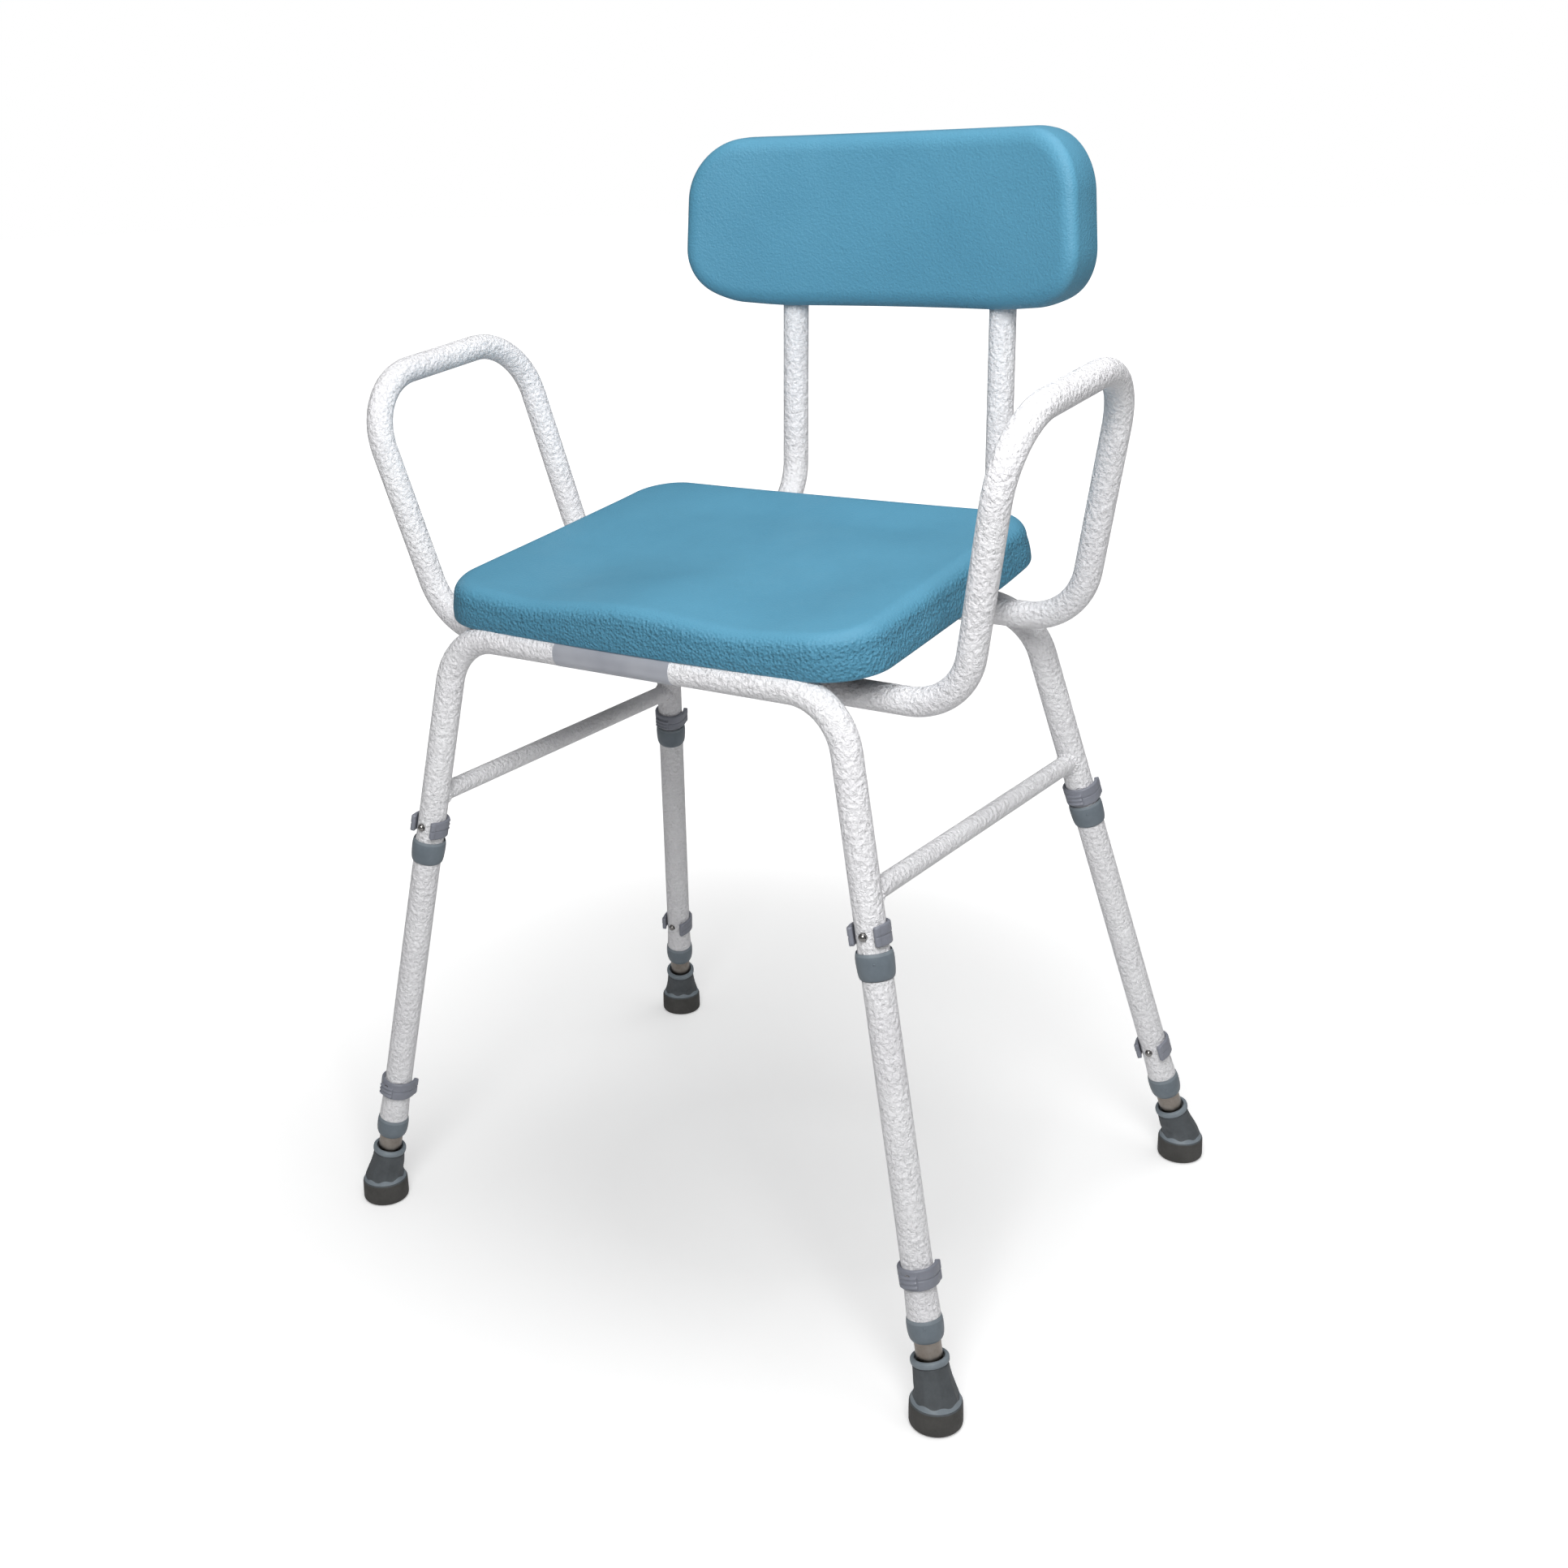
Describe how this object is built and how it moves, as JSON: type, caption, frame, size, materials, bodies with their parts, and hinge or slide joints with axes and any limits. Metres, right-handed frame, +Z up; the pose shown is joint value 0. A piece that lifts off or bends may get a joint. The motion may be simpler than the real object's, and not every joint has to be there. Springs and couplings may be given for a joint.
{
  "type": "shower stool",
  "caption": "Height-adjustable shower stool with a padded seat, padded backrest and looped armrests on four splayed telescopic legs.",
  "frame": {"origin": "on the floor, at the middle of the four feet", "axes": "+Z up, -Y towards the front of the seat, +X towards the right of a viewer who faces the front"},
  "size_m": [0.588, 0.47, 0.8704],
  "materials": {
    "white_coat": "white powder coat with a leathery texture",
    "pad": "blue self-skinned foam with a fine grain",
    "board": "black, matt",
    "clip_grey": "mid grey moulded plastic",
    "collar_grey": "dark grey moulded plastic",
    "zinc": "drawn tube, lightly brushed",
    "steel": "bright fasteners",
    "rubber": "dark grey rubber",
    "label": "silver-grey film, blank",
    "black_plastic": "black moulded plastic"
  },
  "bodies": {
    "frame": {"front_leg_frame": "white_coat", "rear_leg_frame": "white_coat", "side_rail_left": "white_coat", "side_rail_right": "white_coat", "armrest_left": "white_coat", "armrest_right": "white_coat", "back_tube_left": "white_coat", "back_tube_right": "white_coat", "rear_bar_spacers": "black_plastic", "arm_end_plugs": "black_plastic", "frame_bolts": "steel", "spacer_bolts": "steel", "seat_board": "board", "seat_pad": "pad", "backrest_pad": "pad", "backrest_insert": "black_plastic", "backrest_screws": "steel", "bar_label": "label", "upper_collar_fl": "collar_grey", "upper_collar_fr": "collar_grey", "upper_collar_rl": "collar_grey", "upper_collar_rr": "collar_grey"},
    "mid_fl": {"mid_leg_fl": "white_coat", "spigot_fl": "zinc", "lower_collar_fl": "collar_grey"},
    "foot_fl": {"foot_tube_fl": "zinc", "ferrule_fl": "rubber"},
    "uclip_fl": {"upper_clip_fl": "clip_grey", "upper_pin_fl": "steel"},
    "lclip_fl": {"lower_clip_fl": "clip_grey", "lower_pin_fl": "steel"},
    "mid_fr": {"mid_leg_fr": "white_coat", "spigot_fr": "zinc", "lower_collar_fr": "collar_grey"},
    "foot_fr": {"foot_tube_fr": "zinc", "ferrule_fr": "rubber"},
    "uclip_fr": {"upper_clip_fr": "clip_grey", "upper_pin_fr": "steel"},
    "lclip_fr": {"lower_clip_fr": "clip_grey", "lower_pin_fr": "steel"},
    "mid_rl": {"mid_leg_rl": "white_coat", "spigot_rl": "zinc", "lower_collar_rl": "collar_grey"},
    "foot_rl": {"foot_tube_rl": "zinc", "ferrule_rl": "rubber"},
    "uclip_rl": {"upper_clip_rl": "clip_grey", "upper_pin_rl": "steel"},
    "lclip_rl": {"lower_clip_rl": "clip_grey", "lower_pin_rl": "steel"},
    "mid_rr": {"mid_leg_rr": "white_coat", "spigot_rr": "zinc", "lower_collar_rr": "collar_grey"},
    "foot_rr": {"foot_tube_rr": "zinc", "ferrule_rr": "rubber"},
    "uclip_rr": {"upper_clip_rr": "clip_grey", "upper_pin_rr": "steel"},
    "lclip_rr": {"lower_clip_rr": "clip_grey", "lower_pin_rr": "steel"}
  },
  "joints": [
    {"name": "upper_stage_fl", "type": "slide", "parent": "frame", "child": "mid_fl", "axis": [-0.1891, -0.0668, -0.9797], "range_m": [0, 0.075]},
    {"name": "lower_stage_fl", "type": "slide", "parent": "mid_fl", "child": "foot_fl", "axis": [-0.1891, -0.0668, -0.9797], "range_m": [0, 0.15]},
    {"name": "upper_clip_pull_fl", "type": "slide", "parent": "frame", "child": "uclip_fl", "axis": [0, 0.9977, -0.068], "range_m": [0, 0.045]},
    {"name": "lower_clip_pull_fl", "type": "slide", "parent": "mid_fl", "child": "lclip_fl", "axis": [0, -0.9977, 0.068], "range_m": [0, 0.045]},
    {"name": "upper_stage_fr", "type": "slide", "parent": "frame", "child": "mid_fr", "axis": [0.1891, -0.0668, -0.9797], "range_m": [0, 0.075]},
    {"name": "lower_stage_fr", "type": "slide", "parent": "mid_fr", "child": "foot_fr", "axis": [0.1891, -0.0668, -0.9797], "range_m": [0, 0.15]},
    {"name": "upper_clip_pull_fr", "type": "slide", "parent": "frame", "child": "uclip_fr", "axis": [0, 0.9977, -0.068], "range_m": [0, 0.045]},
    {"name": "lower_clip_pull_fr", "type": "slide", "parent": "mid_fr", "child": "lclip_fr", "axis": [0, -0.9977, 0.068], "range_m": [0, 0.045]},
    {"name": "upper_stage_rl", "type": "slide", "parent": "frame", "child": "mid_rl", "axis": [-0.1805, 0.2421, -0.9533], "range_m": [0, 0.075]},
    {"name": "lower_stage_rl", "type": "slide", "parent": "mid_rl", "child": "foot_rl", "axis": [-0.1805, 0.2421, -0.9533], "range_m": [0, 0.15]},
    {"name": "upper_clip_pull_rl", "type": "slide", "parent": "frame", "child": "uclip_rl", "axis": [0, -0.9692, -0.2462], "range_m": [0, 0.045]},
    {"name": "lower_clip_pull_rl", "type": "slide", "parent": "mid_rl", "child": "lclip_rl", "axis": [0, 0.9692, 0.2462], "range_m": [0, 0.045]},
    {"name": "upper_stage_rr", "type": "slide", "parent": "frame", "child": "mid_rr", "axis": [0.1805, 0.2421, -0.9533], "range_m": [0, 0.075]},
    {"name": "lower_stage_rr", "type": "slide", "parent": "mid_rr", "child": "foot_rr", "axis": [0.1805, 0.2421, -0.9533], "range_m": [0, 0.15]},
    {"name": "upper_clip_pull_rr", "type": "slide", "parent": "frame", "child": "uclip_rr", "axis": [0, -0.9692, -0.2462], "range_m": [0, 0.045]},
    {"name": "lower_clip_pull_rr", "type": "slide", "parent": "mid_rr", "child": "lclip_rr", "axis": [0, 0.9692, 0.2462], "range_m": [0, 0.045]}
  ]
}
